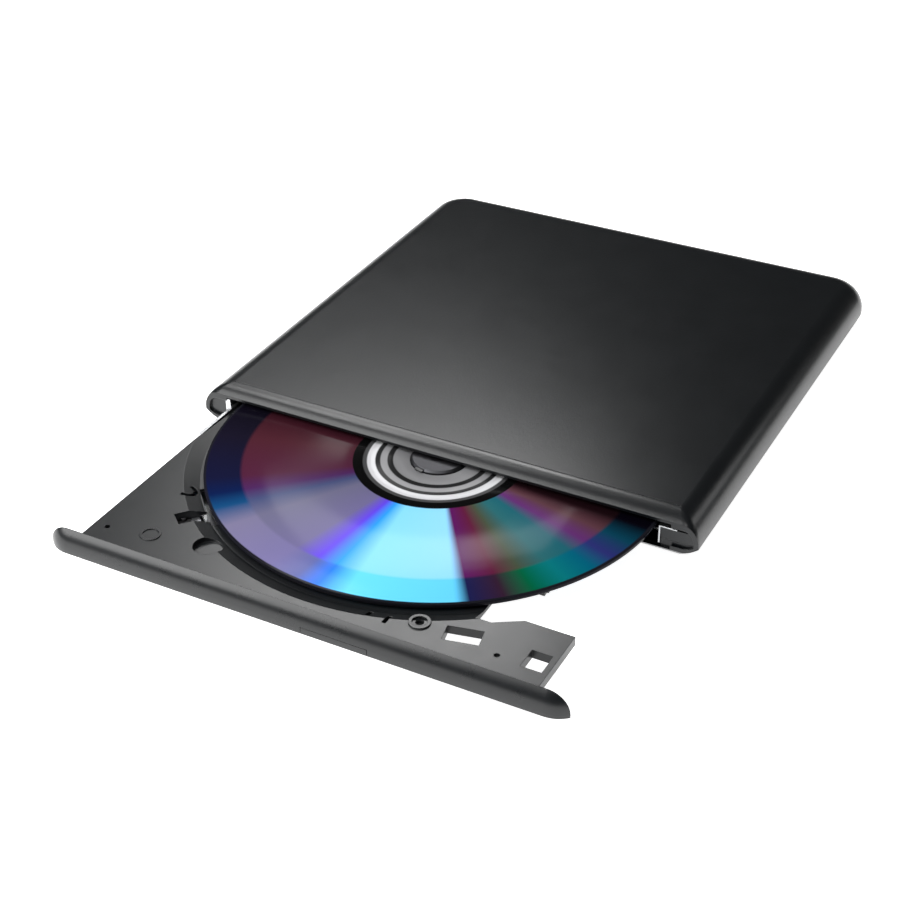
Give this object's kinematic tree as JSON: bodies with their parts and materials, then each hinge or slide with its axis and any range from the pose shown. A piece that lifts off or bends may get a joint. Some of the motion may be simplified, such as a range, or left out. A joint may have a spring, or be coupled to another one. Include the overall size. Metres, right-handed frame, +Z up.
{
  "type": "external optical disc drive",
  "caption": "Slim external optical drive with its disc tray part-way out on slide rails, a disc on the hub, and the disc mechanism inside.",
  "frame": {"origin": "on the desk, under the middle of the object's bounding box with the tray 68 mm out", "axes": "+X to the right seen from the front, the tray comes out towards -Y, +Z up"},
  "size_m": [0.143, 0.212, 0.0135],
  "materials": {
    "casing_plastic": "satin",
    "bezel_plastic": "semi-gloss",
    "tray_plastic": "moulded, slightly glossy",
    "rubber": "matte",
    "sheet_steel": "zinc plated sheet",
    "screw_steel": "dark plated",
    "ground_steel": "ground and polished",
    "inner_plastic": "moulded",
    "board": "green solder resist",
    "flat_cable": "polyester film",
    "socket_metal": "tin plated",
    "copper_coils": "enamelled wire",
    "die_cast": "die cast",
    "magnet": "nickel plated",
    "spindle_metal": "turned, satin",
    "claw_plastic": "moulded",
    "lens_glass": "polished",
    "disc_surface": "polycarbonate over a reflective layer"
  },
  "bodies": {
    "casing": {"top_cover": "casing_plastic", "bottom_cover": "casing_plastic", "rubber_feet": "rubber", "case_screws": "screw_steel", "chassis_screws": "screw_steel", "drive_chassis": "sheet_steel", "drive_top_plate": "sheet_steel", "latch_post": "sheet_steel", "left_rail_guide": "inner_plastic", "right_rail_guide": "inner_plastic", "main_board": "board", "board_chips": "inner_plastic", "flex_connector": "inner_plastic", "flex_cable": "flat_cable", "data_connector": "inner_plastic", "usb_bridge_board": "board", "bridge_chip": "inner_plastic", "bridge_screws": "screw_steel", "usb_socket": "socket_metal", "usb_tongue": "inner_plastic"},
    "tray": {"tray": "tray_plastic", "front_bezel": "bezel_plastic", "tray_bottom_plate": "sheet_steel", "tray_screws": "screw_steel", "tray_board": "board", "eject_switch": "inner_plastic", "latch_solenoid": "inner_plastic", "hook_pin": "sheet_steel", "traverse_frame": "die_cast", "main_guide_rod": "ground_steel", "side_guide_rod": "ground_steel", "traverse_dampers": "rubber", "traverse_screws": "screw_steel", "motor_base": "sheet_steel", "motor_coils": "copper_coils", "sled_motor": "socket_metal"},
    "left_rail": {"left_slide_rail": "sheet_steel"},
    "right_rail": {"right_slide_rail": "sheet_steel"},
    "spindle": {"spindle_rotor": "spindle_metal", "turntable": "spindle_metal", "friction_ring": "rubber", "hub": "spindle_metal", "disc": "disc_surface"},
    "claw_1": {"hub_claw_1": "claw_plastic"},
    "claw_2": {"hub_claw_2": "claw_plastic"},
    "claw_3": {"hub_claw_3": "claw_plastic"},
    "pickup": {"pickup_carriage": "die_cast", "rack_nut": "inner_plastic", "focus_magnets": "magnet"},
    "lens": {"lens_holder": "inner_plastic", "objective_lens": "lens_glass"},
    "lead_screw": {"lead_screw": "ground_steel"},
    "button": {"eject_button": "bezel_plastic"},
    "hook": {"latch_hook": "inner_plastic"}
  },
  "joints": [
    {"name": "tray_slide", "type": "slide", "parent": "casing", "child": "tray", "axis": [0, -1, 0], "range_m": [-0.068, 0.062], "deforming": ["flex_cable"]},
    {"name": "left_rail_slide", "type": "slide", "parent": "casing", "child": "left_rail", "axis": [0, -1, 0], "range_m": [-0.034, 0.031]},
    {"name": "right_rail_slide", "type": "slide", "parent": "casing", "child": "right_rail", "axis": [0, -1, 0], "range_m": [-0.034, 0.031]},
    {"name": "disc_spin", "type": "hinge", "parent": "tray", "child": "spindle", "pos_m": [0, -0.034, 0.0085], "axis": [0, 0, 1], "continuous": true},
    {"name": "pickup_slide", "type": "slide", "parent": "tray", "child": "pickup", "axis": [-0.7071, -0.7071, 0], "range_m": [-0.015, 0.019]},
    {"name": "lead_screw_spin", "type": "hinge", "parent": "tray", "child": "lead_screw", "pos_m": [-0.01556, -0.07501, 0.00555], "axis": [-0.7071, -0.7071, 0], "range_deg": [-1801, 2281]},
    {"name": "lens_focus", "type": "slide", "parent": "pickup", "child": "lens", "axis": [0, 0, 1], "range_m": [-0.0002, 0.0005], "stiffness_N_per_m": 20},
    {"name": "eject_button_press", "type": "slide", "parent": "tray", "child": "button", "axis": [0, 1, 0], "range_m": [0, 0.0006], "stiffness_N_per_m": 500},
    {"name": "latch_hook_swing", "type": "hinge", "parent": "tray", "child": "hook", "pos_m": [0.025, -0.08, 0.0055], "axis": [0, 0, 1], "range_deg": [0, 12]},
    {"name": "hub_claw_1_press", "type": "slide", "parent": "spindle", "child": "claw_1", "axis": [0.2588, 0.9659, 0], "range_m": [0, 0.0007], "stiffness_N_per_m": 300},
    {"name": "hub_claw_2_press", "type": "slide", "parent": "spindle", "child": "claw_2", "axis": [-0.9659, -0.2588, 0], "range_m": [0, 0.0007], "stiffness_N_per_m": 300},
    {"name": "hub_claw_3_press", "type": "slide", "parent": "spindle", "child": "claw_3", "axis": [0.7071, -0.7071, 0], "range_m": [0, 0.0007], "stiffness_N_per_m": 300}
  ],
  "couplings": [
    {"joint": "left_rail_slide", "follows": "tray_slide", "ratio": 0.5},
    {"joint": "right_rail_slide", "follows": "tray_slide", "ratio": 0.5},
    {"joint": "lead_screw_spin", "follows": "pickup_slide", "rad_per_m": 2094.4}
  ]
}
